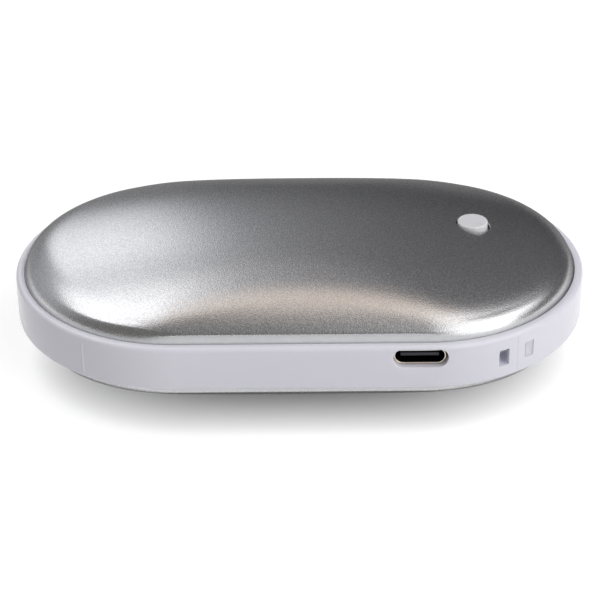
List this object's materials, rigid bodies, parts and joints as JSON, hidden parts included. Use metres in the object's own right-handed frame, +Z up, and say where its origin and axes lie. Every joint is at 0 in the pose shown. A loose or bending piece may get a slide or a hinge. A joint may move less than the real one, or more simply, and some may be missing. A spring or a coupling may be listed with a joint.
{
  "type": "rechargeable hand warmer",
  "caption": "Pebble-shaped pocket hand warmer: two domed metal half shells round a white plastic band with a press button, a charging socket and a cord bar.",
  "frame": {"origin": "centre of the case's outline, on the surface that it rests on", "axes": "+X along the case towards the button end, -Y towards the side with the charging socket, +Z up through the top shell"},
  "size_m": [0.102, 0.059, 0.0281],
  "materials": {
    "blasted_aluminium": "sandblasted and clear anodised",
    "white_plastic": "satin white",
    "button_plastic": "translucent white",
    "carrier_plastic": "moulded black",
    "zinc_steel": "zinc plated",
    "can_steel": "nickel plated",
    "cell_can": "nickel-plated can, at the density of a whole cell",
    "shrink_sleeve": "heat-shrunk film",
    "insulating_paper": "plain paper",
    "nickel": "satin nickel",
    "dark_resin": "moulded black",
    "heater_film": "amber film",
    "heater_track": "etched foil",
    "foam": "closed-cell foam",
    "board_laminate": "solder mask over glass laminate",
    "socket_steel": "nickel plated, warm",
    "socket_plastic": "moulded black",
    "contact_gold": "gold plated",
    "switch_plastic": "moulded white",
    "lamp_resin": "clear yellowish resin",
    "ferrite": "pressed ferrite",
    "ceramic_tan": "fired ceramic",
    "sensor_epoxy": "epoxy bead",
    "white_wire": "insulated wire",
    "red_wire": "insulated wire",
    "black_wire": "insulated wire",
    "yellow_wire": "insulated wire"
  },
  "bodies": {
    "case": {"top_shell": "blasted_aluminium", "bottom_shell": "blasted_aluminium", "middle_band": "white_plastic", "upper_carrier": "carrier_plastic", "lower_carrier": "carrier_plastic", "case_screws": "zinc_steel", "front_cell": "cell_can", "rear_cell": "cell_can", "front_cell_sleeve": "shrink_sleeve", "rear_cell_sleeve": "shrink_sleeve", "front_cell_insulator": "insulating_paper", "rear_cell_insulator": "insulating_paper", "positive_strip": "nickel", "negative_strip": "nickel", "thermal_fuse": "dark_resin", "top_heater_film": "heater_film", "top_heater_track": "heater_track", "bottom_heater_film": "heater_film", "bottom_heater_track": "heater_track", "top_foam_pads": "foam", "bottom_foam_pads": "foam", "circuit_board": "board_laminate", "board_screws": "zinc_steel", "socket_shell": "socket_steel", "socket_tongue": "socket_plastic", "socket_contacts": "contact_gold", "switch_base": "dark_resin", "switch_cover": "nickel", "switch_dome": "can_steel", "indicator_lamps": "lamp_resin", "power_inductor": "ferrite", "controller_chip": "dark_resin", "chip_leads": "nickel", "power_transistors": "dark_resin", "board_capacitors": "ceramic_tan", "temperature_sensor": "sensor_epoxy", "sensor_leads": "white_wire", "positive_lead": "red_wire", "negative_lead": "black_wire", "top_heater_leads": "yellow_wire", "bottom_heater_leads": "yellow_wire"},
    "button": {"power_button": "button_plastic", "switch_plunger": "switch_plastic"}
  },
  "joints": [
    {"name": "button_press", "type": "slide", "parent": "case", "child": "button", "axis": [0, 0, -1], "range_m": [0, 0.0003], "stiffness_N_per_m": 1500, "springref_m": -0.0006, "deforming": ["switch_dome"]}
  ]
}
